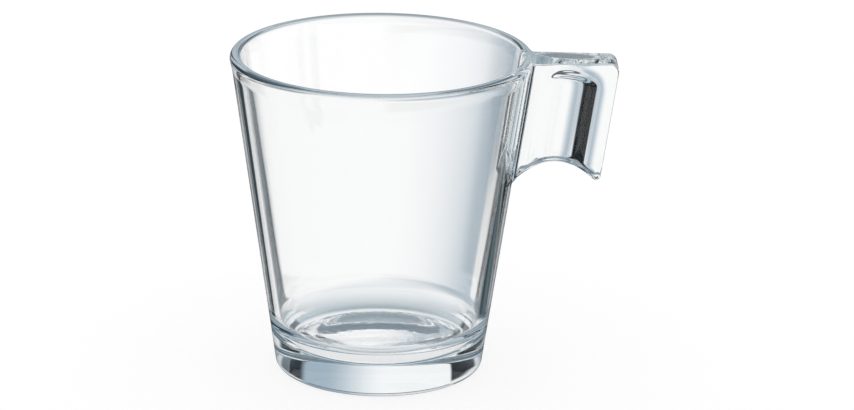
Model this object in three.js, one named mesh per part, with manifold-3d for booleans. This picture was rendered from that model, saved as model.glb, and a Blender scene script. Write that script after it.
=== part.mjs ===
// A clear glass teacup: a cone-shaped bowl with a heavy base, and a solid pinch handle fused to its wall.
// Millimetres, +Z up. The origin is the middle of the base, on the bowl's axis, and the handle points to +X.

import * as THREE from 'three';
import { mergeVertices } from 'three/addons/utils/BufferGeometryUtils.js';
import Module from 'manifold-3d';

const wasm = await Module();
wasm.setup();

// Bowl sizes. The two radii are those of the straight outer wall, carried down to the table and up to the
// rim's height.
const HEIGHT = 86.5;
const BASE_RADIUS = 27.56;
const MOUTH_RADIUS = 39.82;
const WALL = 2.8;
const FLOOR_THICKNESS = 7.8;
const FLOOR_FILLET = 9.5;
const HEEL_RADIUS = 1.0;
const RIM_SWELL = 0.25;
const RIM_NECK = 5.0;

// Handle sizes. Its outer edge runs parallel to the bowl's wall.
const HANDLE_DROP = 1.1;
const HANDLE_HEIGHT = 32.1;
const HANDLE_REACH = 22.8;
const ROOT_WIDTH = 13.0;
const TIP_WIDTH = 10.7;
const CORNER_RADIUS = 2.3;
const TOE_RADIUS = 1.2;
const ARCH_RISE = 4.6;
const EDGE_ROUND = 0.8;

// The hollows pressed into the two sides of the handle for thumb and finger.
const WEB = 7.5;
const SCOOP_RADIUS = 16.0;
const SCOOP_CROWN = 5.0;
const TOP_FLANGE = 1.8;

// The seam between the bowl and the handle.
const SEAM_GAP = 0.3;

// Fineness of the round forms.
const TURN_STEPS = 96;
const ARC_STEPS = 5;
const EDGE_STEPS = 2;
const MERGE_DISTANCE = 1e-4;

const GLASS = new THREE.MeshStandardMaterial({
  color: 0xe3edef,
  roughness: 0.04,
  metalness: 0,
  transparent: true,
  opacity: 0.35,
});

const slope = (MOUTH_RADIUS - BASE_RADIUS) / HEIGHT;
const tilt = Math.atan(slope);
const wallRadius = (z) => BASE_RADIUS + slope * z;

// Points along an arc about (r, z), from one angle to another.
function arc(r, z, radius, from, to, steps) {
  const points = [];
  for (let i = 0; i <= steps; i += 1) {
    const angle = from + ((to - from) * i) / steps;
    points.push(new THREE.Vector2(r + radius * Math.cos(angle), z + radius * Math.sin(angle)));
  }
  return points;
}

// The outer half of the bowl's section, moved out by a clearance: heel, straight wall and swollen rim.
// The rim is a round bead that touches the inner wall and stands proud of the outer one. Below it the wall
// leaves its straight line at the neck and meets the bead along a tangent.
function outerSection(clearance) {
  const heelCentre = wallRadius(HEEL_RADIUS) - HEEL_RADIUS / Math.cos(tilt);
  const bead = (WALL * Math.cos(tilt) + RIM_SWELL) / 2;
  const beadZ = HEIGHT - bead;
  const beadR = wallRadius(beadZ) - WALL + bead / Math.cos(tilt);
  const neckZ = HEIGHT - RIM_NECK;
  const toNeck = new THREE.Vector2(wallRadius(neckZ) - beadR, neckZ - beadZ);
  const tangent = toNeck.angle() - 2 * Math.PI + Math.acos(bead / toNeck.length());
  const points = [
    ...arc(heelCentre, HEEL_RADIUS, HEEL_RADIUS, -Math.PI / 2, -tilt, ARC_STEPS),
    new THREE.Vector2(wallRadius(neckZ), neckZ),
    ...arc(beadR, beadZ, bead, tangent, Math.PI / 2, ARC_STEPS),
    ...arc(beadR, beadZ, bead, Math.PI / 2, Math.PI - tilt, ARC_STEPS).slice(1),
  ];
  return points.map((p) => new THREE.Vector2(p.x + clearance, p.y));
}

// The inner half of the section: the inner wall runs down to a fillet and a level floor.
function innerSection() {
  const filletZ = FLOOR_THICKNESS + FLOOR_FILLET;
  const filletR = wallRadius(filletZ) - WALL - FLOOR_FILLET / Math.cos(tilt);
  return arc(filletR, filletZ, FLOOR_FILLET, -tilt, -Math.PI / 2, 2 * ARC_STEPS);
}

// A turned solid about Z. The section starts and ends on the axis.
function turned(section) {
  return new THREE.LatheGeometry(section, TURN_STEPS).rotateX(Math.PI / 2);
}

function onAxis(z) {
  return new THREE.Vector2(0, z);
}

// A closed geometry as a solid: shared points are merged, and triangles that shrink to nothing on the
// axis are left out.
function solidOf(geometry) {
  const bare = geometry.index ? geometry.toNonIndexed() : geometry.clone();
  bare.deleteAttribute('normal');
  bare.deleteAttribute('uv');
  const merged = mergeVertices(bare, MERGE_DISTANCE);
  const index = Array.from(merged.index.array);
  const triVerts = [];
  for (let i = 0; i < index.length; i += 3) {
    const [a, b, c] = index.slice(i, i + 3);
    if (a !== b && b !== c && c !== a) {
      triVerts.push(a, b, c);
    }
  }
  const mesh = new wasm.Mesh({
    numProp: 3,
    vertProperties: new Float32Array(merged.attributes.position.array),
    triVerts: new Uint32Array(triVerts),
  });
  return new wasm.Manifold(mesh);
}

function geometryOf(solid) {
  const mesh = solid.getMesh();
  const geometry = new THREE.BufferGeometry();
  geometry.setAttribute('position', new THREE.BufferAttribute(mesh.vertProperties, 3));
  geometry.setIndex(new THREE.BufferAttribute(mesh.triVerts, 1));
  geometry.computeVertexNormals();
  return geometry;
}

function bowlSolid() {
  return solidOf(turned([onAxis(0), ...outerSection(0), ...innerSection(), onAxis(FLOOR_THICKNESS)]));
}

// The space that the bowl fills, seen from outside, with the seam's gap around it.
function bowlSpace() {
  return solidOf(turned([onAxis(0), ...outerSection(SEAM_GAP), onAxis(HEIGHT)]));
}

// The handle's side view: an arch out from the wall, a round toe that the arch runs into without a corner,
// an outer edge parallel to the wall, a round corner and a level top. It starts inside the bowl's wall,
// where the bowl's space trims it. The arch rises ARCH_RISE above the foot and touches the toe's circle.
function handleOutline() {
  const top = HEIGHT - HANDLE_DROP;
  const foot = top - HANDLE_HEIGHT;
  const outerX = (z) => wallRadius(z) + HANDLE_REACH;
  const cornerX = outerX(top - CORNER_RADIUS) - CORNER_RADIUS / Math.cos(tilt);
  const toeX = outerX(foot + TOE_RADIUS) - TOE_RADIUS / Math.cos(tilt);
  const rootX = wallRadius(foot);
  const span = toeX - rootX;
  const archX = rootX + span / 2 - (TOE_RADIUS * ARCH_RISE) / span;
  const archRadius = ((archX - rootX) ** 2 + ARCH_RISE ** 2) / (2 * ARCH_RISE);
  const archZ = foot + ARCH_RISE - archRadius;
  const atRoot = Math.atan2(foot - archZ, rootX - archX);
  const atToe = Math.atan2(foot + TOE_RADIUS - archZ, toeX - archX);
  return new THREE.Shape([
    new THREE.Vector2(rootX - WALL / 2, foot),
    ...arc(archX, archZ, archRadius, atRoot, atToe, 3 * ARC_STEPS),
    ...arc(toeX, foot + TOE_RADIUS, TOE_RADIUS, atToe + Math.PI, 2 * Math.PI - tilt, ARC_STEPS).slice(1),
    ...arc(cornerX, top - CORNER_RADIUS, CORNER_RADIUS, -tilt, Math.PI / 2, ARC_STEPS),
    new THREE.Vector2(wallRadius(top) - WALL / 2, top),
  ]);
}

// The outline given its thickness, with rounded edges, and narrowed evenly from the wall to the tip.
function handleBlank() {
  const blank = new THREE.ExtrudeGeometry(handleOutline(), {
    depth: ROOT_WIDTH - 2 * EDGE_ROUND,
    bevelSize: EDGE_ROUND,
    bevelOffset: -EDGE_ROUND,
    bevelThickness: EDGE_ROUND,
    bevelSegments: EDGE_STEPS,
  });
  blank.rotateX(Math.PI / 2);
  blank.translate(0, ROOT_WIDTH / 2 - EDGE_ROUND, 0);
  const place = blank.attributes.position;
  for (let i = 0; i < place.count; i += 1) {
    const outward = (place.getX(i) - wallRadius(place.getZ(i))) / HANDLE_REACH;
    const width = ROOT_WIDTH + (TIP_WIDTH - ROOT_WIDTH) * outward;
    place.setY(i, (place.getY(i) * width) / ROOT_WIDTH);
  }
  return solidOf(blank);
}

// What a hollow takes away: an upright round bar with a rounded top edge, leaning with the wall and
// stopping short of the handle's flat top. side is -1 for the front and 1 for the back.
function scoopSpace(side) {
  const length = 2 * HANDLE_HEIGHT;
  const bar = turned([
    onAxis(-length),
    new THREE.Vector2(SCOOP_RADIUS, -length),
    ...arc(SCOOP_RADIUS - SCOOP_CROWN, -SCOOP_CROWN, SCOOP_CROWN, 0, Math.PI / 2, 2 * ARC_STEPS),
    onAxis(0),
  ]);
  const crownZ = HEIGHT - HANDLE_DROP - TOP_FLANGE;
  bar.rotateY(tilt);
  bar.translate(wallRadius(crownZ) + HANDLE_REACH / 2, side * (WEB / 2 + SCOOP_RADIUS), crownZ);
  return solidOf(bar);
}

function handleSolid() {
  return handleBlank().subtract(scoopSpace(-1)).subtract(scoopSpace(1)).subtract(bowlSpace());
}

function piece(name, solid) {
  const mesh = new THREE.Mesh(geometryOf(solid), GLASS);
  mesh.name = name;
  return mesh;
}

const teacup = new THREE.Group();
teacup.add(piece('bowl', bowlSolid()));
teacup.add(piece('handle', handleSolid()));

export default teacup;
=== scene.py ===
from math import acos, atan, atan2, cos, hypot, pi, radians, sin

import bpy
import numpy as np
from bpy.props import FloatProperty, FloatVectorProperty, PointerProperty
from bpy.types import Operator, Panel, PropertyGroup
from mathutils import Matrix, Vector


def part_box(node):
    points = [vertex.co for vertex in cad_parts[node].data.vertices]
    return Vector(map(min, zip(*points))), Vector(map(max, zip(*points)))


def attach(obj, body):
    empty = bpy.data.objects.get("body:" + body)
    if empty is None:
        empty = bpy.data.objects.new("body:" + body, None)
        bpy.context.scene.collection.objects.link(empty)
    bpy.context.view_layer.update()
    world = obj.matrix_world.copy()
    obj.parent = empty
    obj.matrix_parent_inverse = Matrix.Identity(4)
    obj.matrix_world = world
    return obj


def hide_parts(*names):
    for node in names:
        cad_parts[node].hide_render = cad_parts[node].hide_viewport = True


bl_info = {
    "name": "Glass Teacup",
    "version": (1, 0, 0),
    "blender": (4, 5, 0),
    "location": "View3D > Sidebar > Teacup",
    "description": "Builds a pressed glass teacup with a pinch handle, and the studio that it stands in",
    "category": "Mesh",
}

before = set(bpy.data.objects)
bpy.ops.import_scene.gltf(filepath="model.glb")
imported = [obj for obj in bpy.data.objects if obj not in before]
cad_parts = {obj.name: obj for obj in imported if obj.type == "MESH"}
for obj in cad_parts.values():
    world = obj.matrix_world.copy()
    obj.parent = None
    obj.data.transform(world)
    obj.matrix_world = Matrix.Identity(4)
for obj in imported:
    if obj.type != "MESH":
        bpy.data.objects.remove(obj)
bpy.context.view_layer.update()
BOWL_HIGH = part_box("bowl")[1]
HANDLE_LOW, HANDLE_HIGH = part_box("handle")

MM = 0.001


# Sizes and colours that a user would change


class TeacupBowl(PropertyGroup):
    """The turned part of the cup: wall, rim, heavy base."""

    height: FloatProperty(
        name="Height", description="From the table to the top of the rim",
        default=BOWL_HIGH.z, unit="LENGTH")
    base_radius: FloatProperty(
        name="Base radius", description="Outer wall carried down to the table",
        default=27.56 * MM, unit="LENGTH")
    mouth_radius: FloatProperty(
        name="Mouth radius", description="Outer wall carried up to the rim",
        default=39.82 * MM, unit="LENGTH")
    wall: FloatProperty(
        name="Wall", description="Thickness of the wall, measured level",
        default=2.8 * MM, unit="LENGTH")
    floor: FloatProperty(
        name="Floor", description="From the table to the drinking floor",
        default=7.8 * MM, unit="LENGTH")
    floor_fillet: FloatProperty(
        name="Floor fillet", description="Radius between the inner wall and the floor",
        default=9.5 * MM, unit="LENGTH")
    floor_dish: FloatProperty(
        name="Floor dish", description="How far the middle of the floor lies below its edge",
        default=1.9 * MM, unit="LENGTH")
    heel: FloatProperty(
        name="Heel", description="Radius of the edge round the base",
        default=1.8 * MM, unit="LENGTH")
    rim_swell: FloatProperty(
        name="Rim swell", description="How far the fire-polished rim stands proud of the outer wall",
        default=0.25 * MM, unit="LENGTH")
    rim_neck: FloatProperty(
        name="Rim neck", description="How far below the top the wall starts to swell",
        default=5.0 * MM, unit="LENGTH")
    push_up: FloatProperty(
        name="Push-up", description="How far the underside is pushed up in the middle",
        default=0.05 * MM, unit="LENGTH")
    push_up_radius: FloatProperty(
        name="Push-up radius", description="Inner radius of the ring that the cup stands on",
        default=22.5 * MM, unit="LENGTH")


class TeacupHandle(PropertyGroup):
    """The solid tab that is fused to the wall."""

    top: FloatProperty(
        name="Top", description="Height of the flat top above the table",
        default=HANDLE_HIGH.z, unit="LENGTH")
    foot: FloatProperty(
        name="Foot", description="Height of the lowest point above the table",
        default=HANDLE_LOW.z, unit="LENGTH")
    reach: FloatProperty(
        name="Reach", description="From the bowl's wall to the outer edge, measured level",
        default=22.8 * MM, unit="LENGTH")
    root_width: FloatProperty(
        name="Root width", description="Width at the bowl's wall",
        default=13.0 * MM, unit="LENGTH")
    tip_width: FloatProperty(
        name="Tip width", description="Width at the outer edge",
        default=10.7 * MM, unit="LENGTH")
    corner: FloatProperty(
        name="Corner", description="Radius of the upper outer corner",
        default=2.3 * MM, unit="LENGTH")
    toe: FloatProperty(
        name="Toe", description="Radius of the lower outer end",
        default=1.2 * MM, unit="LENGTH")
    arch: FloatProperty(
        name="Arch", description="Rise of the arch in the underside",
        default=4.6 * MM, unit="LENGTH")
    web: FloatProperty(
        name="Web", description="Glass left between the two hollows",
        default=7.5 * MM, unit="LENGTH")
    scoop: FloatProperty(
        name="Scoop", description="Radius of the hollows in the sides",
        default=16.0 * MM, unit="LENGTH")
    scoop_crown: FloatProperty(
        name="Scoop crown", description="Radius where a hollow turns under the flat top",
        default=5.0 * MM, unit="LENGTH")
    flange: FloatProperty(
        name="Flange", description="Glass left above the hollows",
        default=1.8 * MM, unit="LENGTH")
    edge_round: FloatProperty(
        name="Edge round", description="Width of the rounding along the edges",
        default=0.9 * MM, unit="LENGTH")
    join_round: FloatProperty(
        name="Join round", description="Width of the rounding where the handle leaves the wall",
        default=1.4 * MM, unit="LENGTH")
    lip_round: FloatProperty(
        name="Lip round", description="Width of the rounding where the flat top meets the rim",
        default=0.8 * MM, unit="LENGTH")


class TeacupGlass(PropertyGroup):
    """The glass itself."""

    ior: FloatProperty(
        name="IOR", description="Index of refraction of soda-lime glass",
        default=1.52, min=1.0, max=2.0)
    tint: FloatVectorProperty(
        name="Tint", description="Colour of thick glass",
        default=(0.70, 0.86, 0.90), size=3, subtype="COLOR")
    tint_density: FloatProperty(
        name="Tint density", description="Strength of the tint for each metre of glass",
        default=3.0, min=0.0)
    ripple: FloatProperty(
        name="Ripple", description="Height of the broad waves that fire polishing leaves",
        default=0.05 * MM, unit="LENGTH")
    mottle: FloatProperty(
        name="Mottle", description="Height of the chill marks on the floor and on the handle's flat top",
        default=0.09 * MM, unit="LENGTH")
    haze: FloatProperty(
        name="Haze", description="Roughness of the chill marks",
        default=0.02, min=0.0, max=1.0)
    # A painted shade: light that is let out of the wall after a long chain of mirrorings is darkened once
    # by this colour, which greys the rim.
    caught_light_painted_shade: FloatVectorProperty(
        name="Leak", description="What is left of light that is caught in the wall when it gets out again",
        default=(0.56, 0.63, 0.68), size=3, subtype="COLOR")


class TeacupStudio(PropertyGroup):
    """The stage's camera: where it stands, how it is turned and its lens."""

    camera_distance: FloatProperty(
        name="Camera distance", description="From the middle of the cup's axis",
        default=957.0 * MM, unit="LENGTH")
    camera_elevation: FloatProperty(
        name="Camera elevation", description="Height of the view above the horizon",
        default=radians(18.60), subtype="ANGLE")
    camera_pitch: FloatProperty(
        name="Camera pitch", description="How far the camera looks down",
        default=radians(18.537), subtype="ANGLE")
    camera_turn: FloatProperty(
        name="Camera turn", description="How far the camera is turned towards the handle",
        default=0.0137, subtype="ANGLE")
    camera_roll: FloatProperty(
        name="Camera roll", description="How far the camera leans",
        default=0.0142, subtype="ANGLE")
    camera_lens: FloatProperty(
        name="Lens", description="Focal length in millimetres on a 36 mm sensor", default=151.67)


# Curves and rounded fields


def arc(centre, radius, start, end, steps):
    """Points on a circle: centre + radius * (cos, sin) of an angle that runs evenly from start to end."""
    angle = np.linspace(start, end, steps + 1)
    return np.column_stack([centre[0] + radius * np.cos(angle), centre[1] + radius * np.sin(angle)])


def line(start, end, steps):
    """Points that run evenly from start to end."""
    share = np.linspace(0.0, 1.0, steps + 1)[:, None]
    return (1.0 - share) * np.array(start) + share * np.array(end)


def larger(a, b, width):
    """The larger of two fields, rounded where they differ by less than width:
    max(a, b) + (width - |a - b|)^2 / (4 width)."""
    near = np.maximum(width - np.abs(a - b), 0.0)
    return np.maximum(a, b) + near * near / (4.0 * width)


def smaller(a, b, width):
    """The smaller of two fields, rounded in the same way."""
    return -larger(-a, -b, width)


def crowded(count, crowding):
    """Shares from 0 to 1 that lie closer together at both ends: t - crowding * sin(2 pi t) / (2 pi)."""
    t = np.linspace(0.0, 1.0, count + 1)
    return t - crowding * np.sin(2.0 * pi * t) / (2.0 * pi)


# The bowl's shape


class BowlForm:
    """The lines that the bowl and the handle share, worked out from the bowl's sizes."""

    def __init__(self, bowl):
        self.bowl = bowl
        self.slope = (bowl.mouth_radius - bowl.base_radius) / bowl.height
        self.tilt = atan(self.slope)
        self.bead = (bowl.wall * cos(self.tilt) + bowl.rim_swell) / 2.0
        self.bead_z = bowl.height - self.bead
        self.bead_r = self.wall_radius(self.bead_z) - bowl.wall + self.bead / cos(self.tilt)
        self.neck_z = bowl.height - bowl.rim_neck
        to_neck = (self.wall_radius(self.neck_z) - self.bead_r, self.neck_z - self.bead_z)
        self.bead_start = atan2(to_neck[1], to_neck[0]) + acos(self.bead / hypot(*to_neck))

    def wall_radius(self, z):
        """The straight outer wall: a radius that grows evenly with height."""
        return self.bowl.base_radius + self.slope * z

    def neck(self, steps):
        """A cubic from the straight wall to the rim's bead, with the slope of each at its ends."""
        start = np.array([self.wall_radius(self.neck_z), self.neck_z])
        out = np.array([cos(self.bead_start), sin(self.bead_start)])
        end = np.array([self.bead_r, self.bead_z]) + self.bead * out
        along = np.array([-out[1], out[0]])
        rise = np.array([sin(self.tilt), cos(self.tilt)])
        reach = np.linalg.norm(end - start)
        t = np.linspace(0.0, 1.0, steps + 1)[:, None]
        return ((2 * t**3 - 3 * t**2 + 1) * start + (t**3 - 2 * t**2 + t) * reach * rise
                + (3 * t**2 - 2 * t**3) * end + (t**3 - t**2) * reach * along)

    def outer_field(self, p):
        """How far points lie outside the bowl's outer skin. Up to the bead's middle it is the distance
        from the wall's and the neck's radius at that height, and above it the distance from the bead's
        circle."""
        radius = np.hypot(p[:, 0], p[:, 1])
        neck = self.neck(NECK_STEPS)
        bead = arc((self.bead_r, self.bead_z), self.bead, self.bead_start, 0.0, BEAD_STEPS)
        skin = np.vstack([[[self.bowl.base_radius, 0.0]], neck, bead[1:]])
        beside = (radius - np.interp(p[:, 2], skin[:, 1], skin[:, 0])) * cos(self.tilt)
        around = np.hypot(radius - self.bead_r, p[:, 2] - self.bead_z) - self.bead
        return np.where(p[:, 2] < self.bead_z, beside, around)


# Steps along the stretches of the bowl's section and round the axis. The handle's opening takes out the
# outer wall from its low edge up to an angle on the rim's bead.
UNDER_STEPS = 30
HEEL_STEPS = 10
LOW_WALL_STEPS = 22
ROOT_STEPS = 54
NECK_STEPS = 10
BEAD_STEPS = 14
TOP_STEPS = 16
INNER_WALL_STEPS = 44
FILLET_STEPS = 18
FLOOR_STEPS = 16
OPENING_LOW = 51.0 * MM
BEAD_OPENING_ANGLE = radians(62.0)
ACROSS_STEPS = 36
AROUND_STEPS = 200
OPENING_HALF_ANGLE = radians(14.6)


def underside(bowl, radius):
    """The underside's height: push_up * (1 - (radius / push_up_radius)^2)^2 inside the ring that the cup
    stands on, and 0 under that ring."""
    share = np.minimum(radius / bowl.push_up_radius, 1.0)
    return bowl.push_up * (1.0 - share**2) ** 2


def bowl_section(form):
    """The half section as (radius, height) points, from the axis under the base out to the heel, up the
    outer wall, over the rim, down the inner wall and across the floor to the axis. The floor sinks by
    floor_dish * (1 - (radius / its edge's radius)^3). Also gives the first and last row of the opening for
    the handle."""
    bowl = form.bowl
    heel_centre = (form.wall_radius(bowl.heel) - bowl.heel / cos(form.tilt), bowl.heel)
    under_r = np.linspace(0.0, heel_centre[0], UNDER_STEPS + 1)
    under = np.column_stack([under_r, underside(bowl, under_r)])
    heel = arc(heel_centre, bowl.heel, -pi / 2, -form.tilt, HEEL_STEPS)
    opening = (form.wall_radius(OPENING_LOW), OPENING_LOW)
    low_wall = line(heel[-1], opening, LOW_WALL_STEPS)
    neck = form.neck(NECK_STEPS)
    root = line(opening, neck[0], ROOT_STEPS)
    bead_middle = (form.bead_r, form.bead_z)
    bead = arc(bead_middle, form.bead, form.bead_start, BEAD_OPENING_ANGLE, BEAD_STEPS)
    top = arc(bead_middle, form.bead, BEAD_OPENING_ANGLE, pi - form.tilt, TOP_STEPS)
    fillet_z = bowl.floor + bowl.floor_fillet
    fillet_r = form.wall_radius(fillet_z) - bowl.wall - bowl.floor_fillet / cos(form.tilt)
    fillet = arc((fillet_r, fillet_z), bowl.floor_fillet, -form.tilt, -pi / 2, FILLET_STEPS)
    inner_wall = line(top[-1], fillet[0], INNER_WALL_STEPS)
    floor_r = np.linspace(fillet_r, 0.0, FLOOR_STEPS + 1)
    dish = bowl.floor_dish * (1.0 - (floor_r / fillet_r) ** 3)
    floor = np.column_stack([floor_r, bowl.floor - dish])
    stretches = [under, heel, low_wall, root, neck, bead, top, inner_wall, fillet, floor]
    points = np.vstack([stretches[0]] + [s[1:] for s in stretches[1:]])
    first = UNDER_STEPS + HEEL_STEPS + LOW_WALL_STEPS
    last = first + ROOT_STEPS + NECK_STEPS + BEAD_STEPS
    return points, first, last


def turn_angles():
    """Angles about the axis. They are even across the handle's opening, which comes first, and ease out
    to a wider step on the far side."""
    inside = np.linspace(-OPENING_HALF_ANGLE, OPENING_HALF_ANGLE, ACROSS_STEPS + 1)
    rest = 2.0 * pi - 2.0 * OPENING_HALF_ANGLE
    narrowing = 1.0 - (2.0 * OPENING_HALF_ANGLE / ACROSS_STEPS) / (rest / AROUND_STEPS)
    outside = OPENING_HALF_ANGLE + rest * crowded(AROUND_STEPS, narrowing)
    return np.concatenate([inside, outside[1:-1]])


# The handle's shape

# The rounding at the wall narrows to the lip's over a band that starts this far below the flat top.
LIP_START = 4.0 * MM
LIP_BAND = 3.0 * MM


class HandleForm:
    """The solid handle as a field that is negative inside the glass, worked out from its sizes."""

    def __init__(self, handle, form):
        self.handle = handle
        self.form = form
        self.arcs = self.side_arcs()
        self.crown_z = handle.top - handle.flange

    def side_arcs(self):
        """The circles of the side view as (x, height, radius): the corner, the toe and the arch. The corner
        and the toe touch the outer edge. The arch rises by its named height above the foot, starts at the
        wall there and touches the toe's circle, which settles its radius and its middle."""
        h = self.handle
        form = self.form
        lean = cos(form.tilt)
        corner_z = h.top - h.corner
        corner_x = form.wall_radius(corner_z) + h.reach - h.corner / lean
        toe_z = h.foot + h.toe
        toe_x = form.wall_radius(toe_z) + h.reach - h.toe / lean
        root = form.wall_radius(h.foot)
        span = toe_x - root
        arch_x = root + span / 2.0 - h.toe * h.arch / span
        arch_radius = ((arch_x - root) ** 2 + h.arch**2) / (2.0 * h.arch)
        arch_z = h.foot + h.arch - arch_radius
        return (corner_x, corner_z, h.corner), (toe_x, toe_z, h.toe), (arch_x, arch_z, arch_radius)

    def outline_field(self, x, z):
        """Signed distance to the side view: the largest of the distances past the level top, past the outer
        edge, into the arch's circle and below the foot. Between the directions in which the corner's or the
        toe's circle is touched by its neighbours, it is the distance from that circle."""
        h = self.handle
        tilt = self.form.tilt
        past_top = z - h.top
        past_edge = (x - self.form.wall_radius(z) - h.reach) * cos(tilt)
        corner, toe, arch = self.arcs
        in_arch = arch[2] - np.hypot(x - arch[0], z - arch[1])
        field = np.maximum.reduce([past_top, past_edge, in_arch, h.foot - z])
        edge_way = np.array([cos(tilt), -sin(tilt)])
        arch_way = np.array([arch[0] - toe[0], arch[1] - toe[1]])
        for circle, before, after in ((corner, edge_way, (0.0, 1.0)), (toe, arch_way, edge_way)):
            off_x, off_z = x - circle[0], z - circle[1]
            past_first = before[0] * off_z - before[1] * off_x >= 0.0
            short_of_last = after[1] * off_x - after[0] * off_z >= 0.0
            field = np.where(past_first & short_of_last, np.hypot(off_x, off_z) - circle[2], field)
        return field

    def scoop_field(self, p):
        """Signed distance to the bar that a hollow is pressed with, on the side that a point is on: a round
        bar along the wall's slope whose upper edge is rounded by the crown's radius."""
        h = self.handle
        tilt = self.form.tilt
        x = p[:, 0] - self.form.wall_radius(self.crown_z) - h.reach / 2.0
        y = np.abs(p[:, 1]) - h.web / 2.0 - h.scoop
        z = p[:, 2] - self.crown_z
        up = x * sin(tilt) + z * cos(tilt)
        across = np.hypot(x * cos(tilt) - z * sin(tilt), y)
        beside = across - h.scoop + h.scoop_crown
        above = up + h.scoop_crown
        return (np.hypot(np.maximum(beside, 0.0), np.maximum(above, 0.0))
                + np.minimum(np.maximum(beside, above), 0.0) - h.scoop_crown)

    def half_width(self, out):
        """Half the width at a distance out from the wall, which narrows evenly to the tip."""
        h = self.handle
        return 0.5 * (h.root_width + (h.tip_width - h.root_width) * out / h.reach)

    def field(self, p):
        """The handle: inside the side outline, within its width and outside both hollows, with the edges
        between these rounded."""
        h = self.handle
        out = p[:, 0] - self.form.wall_radius(p[:, 2])
        side = larger(np.abs(p[:, 1]) - self.half_width(out), -self.scoop_field(p), h.edge_round)
        return larger(side, self.outline_field(p[:, 0], p[:, 2]), h.edge_round)

    def cup_field(self, p):
        """The bowl's outer skin and the handle as one: the smaller of the two fields, with a rounding that
        narrows towards the rim."""
        h = self.handle
        near_top = np.clip((p[:, 2] - h.top + LIP_START) / LIP_BAND, 0.0, 1.0)
        width = h.join_round + (h.lip_round - h.join_round) * near_top
        return smaller(self.form.outer_field(p), self.field(p), width)


# How points are moved onto a surface: the step that a slope is measured with, the least square of a slope,
# the longest move and the rounds, the second for points that are on it already.
SLOPE_STEP = 0.01 * MM
LEAST_SQUARE = 0.05
LONGEST_MOVE = 0.6 * MM
SETTLE_ROUNDS = 10
RESETTLE_ROUNDS = 2


def settle(points, field, rounds=SETTLE_ROUNDS):
    """Moves points along a field's slope until they lie where the field is 0. Each round takes away
    value * slope / |slope|^2."""
    for _ in range(rounds):
        value = field(points)
        slope = np.column_stack([
            (field(points + SLOPE_STEP * axis) - field(points - SLOPE_STEP * axis)) / (2.0 * SLOPE_STEP)
            for axis in np.eye(3)
        ])
        square = np.maximum((slope * slope).sum(1), LEAST_SQUARE)
        move = np.clip(value / square, -LONGEST_MOVE, LONGEST_MOVE)
        points = points - move[:, None] * slope
    return points


def relax(rings, fixed, weight, field, rounds):
    """Evens out rings of points on a field's surface: each point goes by its ring's weight towards the
    mean of its four neighbours, on its own ring and on the next ones, and is settled again. The fixed ring
    comes before the first."""
    for _ in range(rounds):
        before = np.concatenate([fixed[None], rings[:-1]])
        after = np.concatenate([rings[1:], rings[-1:]])
        mean = (before + after + np.roll(rings, 1, axis=1) + np.roll(rings, -1, axis=1)) / 4.0
        rings = rings + weight[:, None, None] * (mean - rings)
        rings = settle(rings.reshape(-1, 3), field, RESETTLE_ROUNDS).reshape(rings.shape)
    return rings


# Steps along the handle, from the wall outwards, and how far out the joining rings end.
JOIN_STEPS = 12
REACH_STEPS = 40
TIP_STEPS = 12
JOIN_REACH = 2.6 * MM

# A ring's points crowd towards its corners. Its first guess follows the arch up to a share of the arch's
# radius, in a few rounds, and the hollows up to a share of the crown below their tops.
UP_CROWDING = 0.7
ACROSS_CROWDING = 0.6
ARCH_ROUNDS = 6
ARCH_END = 0.7
HOLLOW_END = 0.6

# The first rings are evened out, less and less over the last of them, and the wall's own points are settled
# near the window, where the rounding still moves them.
RELAX_STEPS = 18
RELAX_FADE = 4.0
RELAX_ROUNDS = 14
NEAR_TURN = 1.6 * OPENING_HALF_ANGLE
NEAR_ROWS_BELOW = 12
NEAR_ROWS_ABOVE = 6


def handle_stations(handle):
    """Distances out from the wall: close together over the tip's corner, even before it."""
    straight = np.linspace(JOIN_REACH, handle.reach - handle.corner, REACH_STEPS + 1)
    corner = handle.reach - handle.corner + handle.corner * np.sin(np.linspace(0.0, pi / 2, TIP_STEPS + 1))
    return np.concatenate([straight, corner[1:]])


def handle_loop(across, upward):
    """The ring of a grid of across by upward steps as two index arrays, from the lower front corner up the
    front, over the top, down the back and along the bottom."""
    a = np.concatenate([
        np.zeros(upward, int), np.arange(across), np.full(upward, across), np.arange(across, 0, -1)])
    b = np.concatenate([
        np.arange(upward), np.full(across, upward), np.arange(upward, 0, -1), np.zeros(across, int)])
    return a, b


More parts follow.
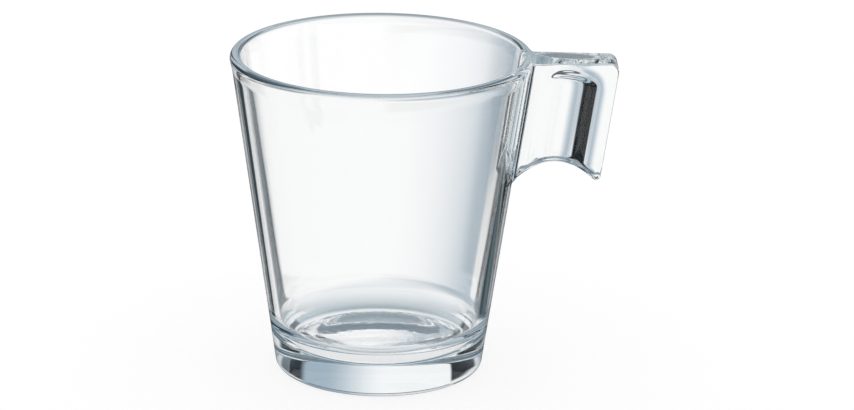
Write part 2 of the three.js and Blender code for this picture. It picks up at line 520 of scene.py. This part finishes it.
def handle_rings(solid, a, b, across, upward):
    """Rings round the handle, one for each station. A ring is a box from the arch to the top, as wide as
    the handle there and drawn in along the hollows. It is a first guess that settle brings onto the
    surface."""
    h = solid.handle
    form = solid.form
    out = handle_stations(h)[:, None]
    past = np.clip(out - h.reach + h.corner, 0.0, h.corner)
    top = h.top - h.corner + np.sqrt(np.maximum(h.corner**2 - past**2, 0.0))
    arch_x, arch_z, arch_radius = solid.arcs[2]
    low = np.full_like(out, h.foot)
    for _ in range(ARCH_ROUNDS):
        x = form.wall_radius(low) + out
        low = arch_z + np.sqrt(np.maximum(arch_radius**2 - (x - arch_x) ** 2, 0.0))
        low = np.where(x > arch_x + arch_radius * ARCH_END, np.maximum(low, h.foot), low)
    toe_past = np.clip(out - h.reach + h.toe, 0.0, h.toe)
    toe_low = h.foot + h.toe - np.sqrt(np.maximum(h.toe**2 - toe_past**2, 0.0))
    low = np.where(out > h.reach - h.toe, toe_low, np.maximum(low, h.foot))
    z = low + (top - low) * crowded(upward, UP_CROWDING)[b][None, :]
    share = 2.0 * crowded(across, ACROSS_CROWDING)[a][None, :] - 1.0
    x = form.wall_radius(z) + out
    from_axis = (x - form.wall_radius(z)) - h.reach / 2.0
    hollow = h.web / 2.0 + h.scoop - np.sqrt(np.maximum(h.scoop**2 - from_axis**2, 0.0))
    half = solid.half_width(out) + np.zeros_like(z)
    half = np.where(z < solid.crown_z - HOLLOW_END * h.scoop_crown, np.minimum(half, hollow), half)
    return np.stack([x, half * share, z], axis=2)


def handle_cap(end, across, upward):
    """The grid inside the handle's last ring: straight lines from its front side to its back side."""
    share = crowded(across, ACROSS_CROWDING)[1:-1]
    front = end[: upward + 1][1:-1]
    back = end[upward + across : 2 * upward + across + 1][::-1][1:-1]
    return front[:, None, :] + (back - front)[:, None, :] * share[None, :, None]


def settled_handle(solid, ring, tube, cap):
    """The tube of rings and the cap, brought onto the cup's skin, with the tube's first rings evened out
    from the window's ring on."""
    count = len(ring)
    points = settle(np.concatenate([tube.reshape(-1, 3), cap.reshape(-1, 3)]), solid.cup_field)
    join = points[: RELAX_STEPS * count].reshape(RELAX_STEPS, count, 3)
    weight = np.clip((RELAX_STEPS - 1.0 - np.arange(RELAX_STEPS)) / RELAX_FADE, 0.0, 1.0)
    join = relax(join, ring, weight, solid.cup_field, RELAX_ROUNDS)
    points[: RELAX_STEPS * count] = settle(join.reshape(-1, 3), solid.cup_field)
    return points


# The whole cup's skin


def turned_rows(rows, angle):
    """Rows of (radius, height) turned about the axis: (radius * cos, radius * sin, height)."""
    return np.stack([
        rows[:, None, 0] * np.cos(angle)[None, :],
        rows[:, None, 0] * np.sin(angle)[None, :],
        np.repeat(rows[:, 1:2], len(angle), axis=1),
    ], axis=2)


def near_window(turned, first, last):
    """Which of the turned points lie within a turn and a few rows of the window."""
    turn = np.abs(np.arctan2(turned[:, :, 1], turned[:, :, 0]))
    row = np.arange(len(turned))[:, None]
    return (turn < NEAR_TURN) & (row > first - NEAR_ROWS_BELOW) & (row < last + NEAR_ROWS_ABOVE)


def grid_faces(index):
    """Quads between neighbouring rows and columns of an index grid."""
    corners = [index[:-1, :-1], index[1:, :-1], index[1:, 1:], index[:-1, 1:]]
    return np.stack(corners, axis=2).reshape(-1, 4)


def turned_faces(index, first, last, across):
    """Quads of the turned rows, less those in the window."""
    rows, columns = index.shape
    wrapped = np.column_stack([index, index[:, 0]])
    row, column = np.divmod(np.arange((rows - 1) * columns), columns)
    in_window = (row >= first) & (row < last) & (column < across)
    return grid_faces(wrapped)[~in_window][:, ::-1]


def pole_fans(index, poles):
    """Triangles from the two points on the axis to the first and to the last turned row."""
    following = np.roll(index, -1, axis=1)
    low, high = (np.full(index.shape[1], pole) for pole in poles)
    low_fan = np.column_stack([low, following[0], index[0]])
    high_fan = np.column_stack([high, index[-1], following[-1]])
    return np.vstack([low_fan, high_fan])


def numbered(start, shape):
    """A grid of numbers that count up from start."""
    return start + np.arange(shape[0] * shape[1]).reshape(shape)


def cup_mesh(form, solid):
    """The whole cup as one closed skin. The bowl is its section turned about the axis, less a window in the
    outer wall. From the window's ring the skin runs through rounded joining rings into the handle's rings,
    and a grid closes the handle's outer end."""
    section, first, last = bowl_section(form)
    turned = turned_rows(section[1:-1], turn_angles())
    first, last = first - 1, last - 1
    across, upward = ACROSS_STEPS, last - first
    a, b = handle_loop(across, upward)
    ring = turned[first + b, a]
    rings = handle_rings(solid, a, b, across, upward)
    share = np.linspace(0.0, 1.0, JOIN_STEPS + 1)[1:-1, None, None]
    joining = (1.0 - share) * ring[None] + share * rings[0][None]
    tube = np.concatenate([joining, rings])
    cap = handle_cap(rings[-1], across, upward)
    handle = settled_handle(solid, ring, tube, cap)
    near = near_window(turned, first, last)
    turned[near] = settle(turned[near], solid.cup_field)
    axis_points = [[0.0, 0.0, section[0, 1]], [0.0, 0.0, section[-1, 1]]]
    points = np.concatenate([turned.reshape(-1, 3), handle, axis_points])

    index = numbered(0, turned.shape[:2])
    tube_index = numbered(index.size, tube.shape[:2])
    cap_index = numbered(index.size + tube_index.size, cap.shape[:2])
    poles = (len(points) - 2, len(points) - 1)
    loops = np.vstack([index[first + b, a], tube_index])
    tube_faces = grid_faces(np.column_stack([loops, loops[:, 0]]))
    plate = np.empty((upward + 1, across + 1), int)
    plate[b, a] = tube_index[-1]
    plate[1:-1, 1:-1] = cap_index
    cap_faces = grid_faces(plate)[:, ::-1]
    quads = np.vstack([turned_faces(index, first, last, across), tube_faces, cap_faces])
    fans = pole_fans(index, poles)
    used, number = np.unique(np.concatenate([quads.ravel(), fans.ravel()]), return_inverse=True)
    four_sided = number[: quads.size].reshape(-1, 4).tolist()
    three_sided = number[quads.size :].reshape(-1, 3).tolist()
    return points[used], four_sided + three_sided


def glass_object(name, points, faces):
    """A smooth mesh object at the origin, with its place in its points."""
    mesh = bpy.data.meshes.new(name)
    mesh.from_pydata(points.tolist(), [], faces)
    mesh.validate()
    mesh.polygons.foreach_set("use_smooth", np.ones(len(mesh.polygons), bool))
    mesh.update()
    piece = bpy.data.objects.new(name, mesh)
    bpy.context.scene.collection.objects.link(piece)
    return piece


# Shader nodes

WHITE = (1.0, 1.0, 1.0)

# A colour mix has its two colours and its result at these places among the node's sockets.
MIX_COLOURS = (6, 7)
MIX_RESULT = 2


def map_range(tree, value, low, high):
    """A node that eases from 0 to 1 while its value runs from low to high."""
    node = tree.nodes.new("ShaderNodeMapRange")
    node.interpolation_type = "SMOOTHSTEP"
    for socket, source in (("Value", value), ("From Min", low), ("From Max", high)):
        if isinstance(source, (int, float)):
            node.inputs[socket].default_value = source
        else:
            tree.links.new(source, node.inputs[socket])
    return node.outputs["Result"]


def math_node(tree, operation, first, second=0.0):
    """A maths node on two values or sockets."""
    node = tree.nodes.new("ShaderNodeMath")
    node.operation = operation
    for socket, source in zip(node.inputs, (first, second)):
        if isinstance(source, (int, float)):
            socket.default_value = source
        else:
            tree.links.new(source, socket)
    return node.outputs["Value"]


def level_ramp(tree, elevation, stops):
    """A colour by elevation: each stop gives degrees above the horizon and a colour."""
    ramp = tree.nodes.new("ShaderNodeValToRGB")
    share = tree.nodes.new("ShaderNodeMapRange")
    share.inputs["From Min"].default_value = -pi / 2
    share.inputs["From Max"].default_value = pi / 2
    tree.links.new(elevation, share.inputs["Value"])
    tree.links.new(share.outputs["Result"], ramp.inputs["Fac"])
    ready = len(ramp.color_ramp.elements)
    for number, (degrees, colour) in enumerate(stops):
        place = (degrees + 90.0) / 180.0
        if number < ready:
            stop = ramp.color_ramp.elements[number]
            stop.position = place
        else:
            stop = ramp.color_ramp.elements.new(place)
        stop.color = (*colour, 1.0)
    return ramp.outputs["Color"]


def blend(tree, factor, first, second):
    """A mix of two colours, each a socket or a value."""
    mix = tree.nodes.new("ShaderNodeMix")
    mix.data_type = "RGBA"
    tree.links.new(factor, mix.inputs["Factor"])
    for place, source in zip(MIX_COLOURS, (first, second)):
        socket = mix.inputs[place]
        if isinstance(source, tuple):
            socket.default_value = (*source, 1.0)
        else:
            tree.links.new(source, socket)
    return mix.outputs[MIX_RESULT]


# The glass

# Light that is caught in the wall leaves it when it has been mirrored more often than this.
LONGEST_CHAIN = 3.5

# Waves for each metre, across the cup and along its height, and the octaves of each noise.
RIPPLE_SCALE = (55.0, 55.0, 22.0)
RIPPLE_DETAIL = 1.0
MOTTLE_SCALE = 420.0
MOTTLE_DETAIL = 2.0

# Where the chill marks lie: on the floor inside a radius and between two heights, on the handle's flat top
# beyond a distance and above a height. The edges say over what width they fade.
FLOOR_MARKS = (22.0 * MM, 4.0 * MM, 9.5 * MM)
TOP_MARKS = (41.0 * MM, 84.6 * MM)
MARK_EDGE = 0.6 * MM
FLOOR_EDGE = 1.8 * MM


def noise(tree, place, scale, detail):
    """A noise of a given number of waves for each metre."""
    node = tree.nodes.new("ShaderNodeTexNoise")
    node.inputs["Scale"].default_value = scale
    node.inputs["Detail"].default_value = detail
    tree.links.new(place, node.inputs["Vector"])
    return node.outputs["Fac"]


def chill_marks(tree, axes):
    """1 where the mould chilled the glass, on the drinking floor and on the handle's flat top, and 0
    elsewhere: the larger of two products of eased edges."""
    across = math_node(tree, "POWER", axes["X"], 2.0)
    across = math_node(tree, "ADD", across, math_node(tree, "POWER", axes["Y"], 2.0))
    radius = math_node(tree, "SQRT", across)
    reach, low, high = FLOOR_MARKS
    floor = math_node(tree, "SUBTRACT", 1.0, map_range(tree, radius, reach - FLOOR_EDGE, reach))
    floor = math_node(tree, "MULTIPLY", floor, map_range(tree, axes["Z"], low - MARK_EDGE, low))
    above = map_range(tree, axes["Z"], high, high + MARK_EDGE)
    floor = math_node(tree, "MULTIPLY", floor, math_node(tree, "SUBTRACT", 1.0, above))
    out, level = TOP_MARKS
    top = map_range(tree, axes["X"], out, out + MARK_EDGE)
    top = math_node(tree, "MULTIPLY", top, map_range(tree, axes["Z"], level, level + MARK_EDGE))
    return math_node(tree, "MAXIMUM", floor, top)


def glass_detail(tree, shader, look):
    """Broad waves all over and fine mottling on the chilled places, as one height for the bump. The
    mottling also sets the haze."""
    place = tree.nodes.new("ShaderNodeTexCoord").outputs["Object"]
    axes = tree.nodes.new("ShaderNodeSeparateXYZ")
    tree.links.new(place, axes.inputs["Vector"])
    stretch = tree.nodes.new("ShaderNodeMapping")
    stretch.inputs["Scale"].default_value = RIPPLE_SCALE
    tree.links.new(place, stretch.inputs["Vector"])
    waves = noise(tree, stretch.outputs["Vector"], 1.0, RIPPLE_DETAIL)
    ripple = math_node(tree, "MULTIPLY", waves, look.ripple)
    spots = noise(tree, place, MOTTLE_SCALE, MOTTLE_DETAIL)
    spots = math_node(tree, "MULTIPLY", spots, chill_marks(tree, axes.outputs))
    height = math_node(tree, "ADD", ripple, math_node(tree, "MULTIPLY", spots, look.mottle))
    bump = tree.nodes.new("ShaderNodeBump")
    bump.inputs["Distance"].default_value = 1.0
    tree.links.new(height, bump.inputs["Height"])
    tree.links.new(bump.outputs["Normal"], shader.inputs["Normal"])
    tree.links.new(math_node(tree, "MULTIPLY", spots, look.haze), shader.inputs["Roughness"])


def glass_material(look):
    """Clear pressed glass: a full transmission with a faint tint in the depth of the glass. Light that runs
    round and round in the wall is let out, as scratches and seams let it out of a real cup, and is darkened
    once by a painted shade that greys the rim and the other places where light is caught."""
    material = bpy.data.materials.new("pressed_glass")
    material.use_nodes = True
    tree = material.node_tree
    shader = tree.nodes["Principled BSDF"]
    shader.inputs["Base Color"].default_value = (*WHITE, 1.0)
    shader.inputs["Transmission Weight"].default_value = 1.0
    glass_detail(tree, shader, look)
    shader.inputs["IOR"].default_value = look.ior
    depth = tree.nodes.new("ShaderNodeVolumeAbsorption")
    depth.inputs["Color"].default_value = (*look.tint, 1.0)
    depth.inputs["Density"].default_value = look.tint_density
    out = tree.nodes["Material Output"]
    tree.links.new(depth.outputs["Volume"], out.inputs["Volume"])
    path = tree.nodes.new("ShaderNodeLightPath")
    # This transparent shader carries the painted shade: light let out of the wall is darkened by its colour
    # the first time it passes, and is left white after that.
    caught_light_painted_shade = tree.nodes.new("ShaderNodeBsdfTransparent")
    out_already = math_node(tree, "MINIMUM", path.outputs["Transparent Depth"], 1.0)
    tree.links.new(blend(tree, out_already, tuple(look.caught_light_painted_shade), WHITE), caught_light_painted_shade.inputs["Color"])
    shown = tree.nodes.new("ShaderNodeMixShader")
    caught = math_node(tree, "GREATER_THAN", path.outputs["Glossy Depth"], LONGEST_CHAIN)
    tree.links.new(caught, shown.inputs["Fac"])
    tree.links.new(shader.outputs["BSDF"], shown.inputs[1])
    tree.links.new(caught_light_painted_shade.outputs["BSDF"], shown.inputs[2])
    tree.links.new(shown.outputs["Shader"], out.inputs["Surface"])
    return material


class TEACUP_OT_glass(Operator):
    """Makes the cup's glass, bowl and handle in one skin, in place of the two plain solids"""

    bl_idname = "teacup.glass"
    bl_label = "Cup Glass"

    def execute(self, context):
        scene = context.scene
        form = BowlForm(scene.teacup_bowl)
        solid = HandleForm(scene.teacup_handle, form)
        piece = glass_object("cup_glass", *cup_mesh(form, solid))
        piece.data.materials.append(glass_material(scene.teacup_glass))
        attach(piece, "root")
        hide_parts("bowl", "handle")
        return {"FINISHED"}


# The studio

# Cards of the studio: left, right, bottom, top, the softness of the left, right and level edges, all in
# degrees, the lean and the colour. Azimuth 0 is straight behind the cup and grows towards the handle.
LEAN_LEVEL = -21.0
CARDS = (
    ((-33.0, -15.5, -27.5, -16.0, 2.0, 1.4, 1.5, 1.2), (0.030, 0.048, 0.060)),
    ((-62.0, -44.0, -30.0, -21.5, 6.0, 2.5, 1.5, 0.0), (0.14, 0.18, 0.21)),
    ((-175.0, -60.0, 0.5, 16.0, 8.0, 8.0, 1.5, 0.0), (0.05, 0.06, 0.07)),
    ((62.0, 112.0, -39.0, -31.0, 4.0, 4.0, 1.2, 0.0), (0.05, 0.07, 0.08)),
    ((-36.0, -10.0, -39.0, -29.5, 3.0, 2.0, 1.0, 0.0), (0.24, 0.28, 0.31)),
    ((17.0, 48.0, -35.0, -31.0, 1.8, 3.0, 1.0, -0.9), (0.22, 0.28, 0.31)),
    ((14.0, 38.0, -40.0, -34.5, 1.8, 3.0, 1.0, 0.0), (0.22, 0.28, 0.31)),
    ((-75.0, -30.5, -16.0, -4.0, 8.0, 0.8, 1.2, 0.0), (0.030, 0.036, 0.040)),
    ((1.5, 14.0, -33.0, -24.0, 3.0, 3.0, 1.5, 0.0), (0.45, 0.53, 0.58)),
    ((11.5, 18.5, -19.4, 12.0, 1.0, 1.0, 0.7, 0.0), (0.56, 0.62, 0.67)),
    ((17.5, 47.0, -22.6, -15.5, 1.2, 2.5, 0.6, -1.1), (0.004, 0.006, 0.008)),
    ((17.5, 33.0, -16.5, 7.0, 1.2, 2.5, 0.6, 0.0), (0.004, 0.006, 0.008)),
    ((40.0, 55.0, -24.0, -18.0, 2.0, 2.0, 0.8, 0.0), (0.004, 0.006, 0.008)),
    ((17.0, 60.0, -32.0, -22.6, 1.8, 6.0, 0.6, -0.9), (0.09, 0.14, 0.16)),
    ((42.0, 82.0, -28.0, -22.6, 3.0, 4.0, 0.6, -1.1), (0.02, 0.03, 0.04)),
    ((4.8, 11.6, -31.0, 4.0, 4.7, 1.0, 3.0, -0.25), (0.44, 0.53, 0.60)),
    ((-64.0, -35.3, 20.2, 36.0, 4.0, 1.2, 0.5, 0.0), (0.015, 0.015, 0.017)),
    ((-58.0, -35.5, -8.0, 13.0, 4.0, 1.5, 1.0, 0.0), (0.020, 0.022, 0.025)),
    ((34.8, 53.0, 19.4, 36.0, 1.2, 2.0, 0.6, 0.0), (0.010, 0.014, 0.018)),
    ((52.0, 66.0, 19.4, 36.0, 2.0, 4.0, 0.6, 0.0), (0.16, 0.20, 0.23)),
    ((35.5, 58.0, -8.0, 13.0, 1.5, 4.0, 1.0, 0.0), (0.020, 0.025, 0.030)),
    ((10.0, 38.0, 6.0, 40.0, 14.0, 3.0, 4.0, 0.0), (0.38, 0.48, 0.56)),
    ((-34.0, 34.0, 13.5, 18.0, 2.0, 2.0, 0.7, 0.0), (0.10, 0.13, 0.15)),
)

# The room by elevation in degrees: seen through the glass, seen through a single wall below RIM_LEVEL,
# which darkens the rim's far line, and mirrored. Light from a single wall has passed fewer faces than
# ONE_WALL.
SKY_STOPS = (
    (-90.0, (0.62, 0.68, 0.72)),
    (-70.0, (0.24, 0.29, 0.32)),
    (-63.0, (0.34, 0.41, 0.44)),
    (-56.0, (0.50, 0.57, 0.60)),
    (-46.0, (0.68, 0.72, 0.75)),
    (-38.0, (0.85, 0.88, 0.90)),
    (-30.0, WHITE),
    (28.0, WHITE),
    (42.0, (0.36, 0.43, 0.48)),
    (56.0, (0.25, 0.31, 0.35)),
    (64.0, (0.26, 0.31, 0.35)),
    (75.0, (0.34, 0.41, 0.46)),
    (90.0, (0.45, 0.52, 0.57)),
)
RIM_LEVEL = -27.0
ONE_WALL = 2.5
RIM_STOPS = (
    (-90.0, (0.62, 0.68, 0.72)),
    (-70.0, (0.24, 0.29, 0.32)),
    (-62.0, (0.26, 0.31, 0.34)),
    (-48.0, (0.28, 0.34, 0.37)),
    (-40.0, (0.46, 0.52, 0.55)),
    (-34.0, (0.72, 0.77, 0.80)),
    (-27.0, WHITE),
    (90.0, WHITE),
)
SHINE_STOPS = (
    (-90.0, (0.07, 0.09, 0.10)),
    (-14.0, (0.07, 0.09, 0.10)),
    (-4.0, (0.20, 0.23, 0.25)),
    (30.0, (0.20, 0.23, 0.25)),
    (50.0, (0.70, 0.75, 0.80)),
    (90.0, (0.80, 0.85, 0.90)),
)


def card_mask(tree, azimuth, elevation, card):
    """1 inside a card of the studio and 0 outside it: the product of four eased edges, left and right on
    the azimuth and bottom and top on the elevation, each as soft as the card says. A card that leans moves
    sideways by lean degrees for each degree below the level where the lean starts."""
    *edges, lean = card
    left, right, bottom, top, soft_left, soft_right, soft_height = (radians(edge) for edge in edges)
    if lean:
        below = math_node(tree, "SUBTRACT", elevation, radians(LEAN_LEVEL))
        below = math_node(tree, "MINIMUM", below, 0.0)
        azimuth = math_node(tree, "ADD", azimuth, math_node(tree, "MULTIPLY", below, lean))
    mask = map_range(tree, azimuth, left - soft_left, left + soft_left)
    for edge, soft, source in ((right, soft_right, azimuth), (top, soft_height, elevation)):
        fade = map_range(tree, source, edge - soft, edge + soft)
        mask = math_node(tree, "MULTIPLY", mask, math_node(tree, "SUBTRACT", 1.0, fade))
    rise = map_range(tree, elevation, bottom - soft_height, bottom + soft_height)
    return math_node(tree, "MULTIPLY", mask, rise)


def studio_world():
    """White to the camera and to the floor. Through the glass there is a white room with a slate ceiling
    and ground, dark cards and a pale scrim, by the direction in which a ray leaves. Through a single wall
    the ground is darker. What mirrors on the glass is a slate room with a bright ceiling, which draws the
    dark outlines."""
    world = bpy.data.worlds.new("white_studio")
    world.use_nodes = True
    tree = world.node_tree
    way = tree.nodes.new("ShaderNodeTexCoord")
    axes = tree.nodes.new("ShaderNodeSeparateXYZ")
    tree.links.new(way.outputs["Generated"], axes.inputs["Vector"])
    azimuth = math_node(tree, "ARCTAN2", axes.outputs["X"], axes.outputs["Y"])
    elevation = math_node(tree, "ARCSINE", axes.outputs["Z"])
    path = tree.nodes.new("ShaderNodeLightPath")
    not_caught = math_node(tree, "LESS_THAN", path.outputs["Glossy Depth"], LONGEST_CHAIN)
    one_wall = math_node(tree, "LESS_THAN", path.outputs["Transmission Depth"], ONE_WALL)
    below = math_node(tree, "LESS_THAN", elevation, radians(RIM_LEVEL))
    by_rim = math_node(tree, "MULTIPLY", one_wall, not_caught)
    by_rim = math_node(tree, "MULTIPLY", by_rim, below)
    through = level_ramp(tree, elevation, SKY_STOPS)
    through = blend(tree, by_rim, through, level_ramp(tree, elevation, RIM_STOPS))
    for card, colour in CARDS:
        through = blend(tree, card_mask(tree, azimuth, elevation, card), through, colour)
    passed = path.outputs["Is Transmission Ray"]
    glossy = path.outputs["Is Glossy Ray"]
    seen = blend(tree, math_node(tree, "MAXIMUM", passed, glossy), WHITE, through)
    mirrored = math_node(tree, "SUBTRACT", glossy, passed)
    mirrored = math_node(tree, "MULTIPLY", mirrored, not_caught)
    seen = blend(tree, mirrored, seen, level_ramp(tree, elevation, SHINE_STOPS))
    tree.links.new(seen, tree.nodes["Background"].inputs["Color"])
    return world


# The floor's half width, its grey and its own glow. It lies a hair below the base, so that no two faces
# share a plane.
FLOOR_REACH = 3.0
FLOOR_GREY = 0.22
FLOOR_GLOW = 0.79
FLOOR_DROP = 0.05 * MM

# Through a single wall the floor shows to light that runs down steeply, by 1 less the cosine of the slant
# at which it meets the floor, and that left the glass below the rim. It fades out over these two spans.
FLOOR_SLANT = (0.53, 0.575)
FLOOR_RIM = (76.0 * MM, 80.0 * MM)


def floor_through_glass(tree):
    """1 where glass looks past the floor into the room and 0 where the floor shows. The height at which
    light left the glass is its way to the floor times the cosine of its slant."""
    path = tree.nodes.new("ShaderNodeLightPath")
    slant = tree.nodes.new("ShaderNodeLayerWeight").outputs["Facing"]
    level = map_range(tree, slant, *FLOOR_SLANT)
    cosine = math_node(tree, "SUBTRACT", 1.0, slant)
    height = math_node(tree, "MULTIPLY", path.outputs["Ray Length"], cosine)
    rim = map_range(tree, height, *FLOOR_RIM)
    walls = math_node(tree, "GREATER_THAN", path.outputs["Transmission Depth"], ONE_WALL)
    past = math_node(tree, "MAXIMUM", level, rim)
    past = math_node(tree, "MAXIMUM", past, walls)
    return math_node(tree, "MULTIPLY", past, path.outputs["Is Transmission Ray"])


def studio_floor(reach):
    """A pale level floor. It is white where nothing shades it, and glass looks through most of it into
    the white room."""
    mesh = bpy.data.meshes.new("studio_floor")
    turns = ((-1.0, -1.0), (1.0, -1.0), (1.0, 1.0), (-1.0, 1.0))
    corners = [(x * reach, y * reach, -FLOOR_DROP) for x, y in turns]
    mesh.from_pydata(corners, [], [(0, 1, 2, 3)])
    floor = bpy.data.objects.new("studio_floor", mesh)
    bpy.context.scene.collection.objects.link(floor)
    material = bpy.data.materials.new("pale_floor")
    material.use_nodes = True
    tree = material.node_tree
    shader = tree.nodes["Principled BSDF"]
    shader.inputs["Base Color"].default_value = (FLOOR_GREY, FLOOR_GREY, FLOOR_GREY, 1.0)
    shader.inputs["Roughness"].default_value = 1.0
    shader.inputs["Specular IOR Level"].default_value = 0.0
    shader.inputs["Emission Color"].default_value = (*WHITE, 1.0)
    shader.inputs["Emission Strength"].default_value = FLOOR_GLOW
    clear = tree.nodes.new("ShaderNodeBsdfTransparent")
    shown = tree.nodes.new("ShaderNodeMixShader")
    tree.links.new(floor_through_glass(tree), shown.inputs["Fac"])
    tree.links.new(shader.outputs["BSDF"], shown.inputs[1])
    tree.links.new(clear.outputs["BSDF"], shown.inputs[2])
    tree.links.new(shown.outputs["Shader"], tree.nodes["Material Output"].inputs["Surface"])
    mesh.materials.append(material)
    floor.visible_glossy = False
    return floor


# The width of the camera's sensor in millimetres.
SENSOR_WIDTH = 36.0


def studio_camera(studio, height):
    """A camera in front of the cup that looks down on it, turned and leaned a little."""
    camera = bpy.data.cameras.new("camera")
    camera.sensor_width = SENSOR_WIDTH
    camera.sensor_fit = "HORIZONTAL"
    camera.lens = studio.camera_lens
    eye = bpy.data.objects.new("camera", camera)
    away = studio.camera_distance
    rise = studio.camera_elevation
    turn = Matrix.Rotation(-studio.camera_turn, 4, "Z")
    tip = Matrix.Rotation(pi / 2 - studio.camera_pitch, 4, "X")
    lean = Matrix.Rotation(studio.camera_roll, 4, "Z")
    place = Matrix.Translation((0.0, -away * cos(rise), height / 2 + away * sin(rise)))
    eye.matrix_world = place @ turn @ tip @ lean
    bpy.context.scene.collection.objects.link(eye)
    return eye


class TEACUP_OT_studio(Operator):
    """Makes the floor, the light and the camera"""

    bl_idname = "teacup.studio"
    bl_label = "Studio"

    def execute(self, context):
        scene = context.scene
        scene.view_settings.view_transform = "Standard"
        scene.world = studio_world()
        floor = studio_floor(FLOOR_REACH)
        scene.camera = studio_camera(scene.teacup_studio, scene.teacup_bowl.height)
        return {"FINISHED"}


# The add-on's panel and its classes


class TEACUP_PT_panel(Panel):
    """Lists the cup's operators"""

    bl_idname = "TEACUP_PT_panel"
    bl_label = "Glass Teacup"
    bl_space_type = "VIEW_3D"
    bl_region_type = "UI"
    bl_category = "Teacup"

    def draw(self, context):
        for step in STEPS:
            self.layout.operator(step.bl_idname)


GROUPS = {
    "teacup_bowl": TeacupBowl,
    "teacup_handle": TeacupHandle,
    "teacup_glass": TeacupGlass,
    "teacup_studio": TeacupStudio,
}
STEPS = (TEACUP_OT_studio, TEACUP_OT_glass)


def register():
    """Registers the classes and hangs the property groups on the scene."""
    for made in (*GROUPS.values(), *STEPS, TEACUP_PT_panel):
        bpy.utils.register_class(made)
    for name, group in GROUPS.items():
        setattr(bpy.types.Scene, name, PointerProperty(type=group))


def unregister():
    """Takes the property groups and the classes away again."""
    for name in GROUPS:
        delattr(bpy.types.Scene, name)
    for made in (TEACUP_PT_panel, *STEPS, *GROUPS.values()):
        bpy.utils.unregister_class(made)


def main():
    """Makes the stage and the cup."""
    register()
    bpy.ops.teacup.studio()
    bpy.ops.teacup.glass()


if __name__ == "__main__":
    main()
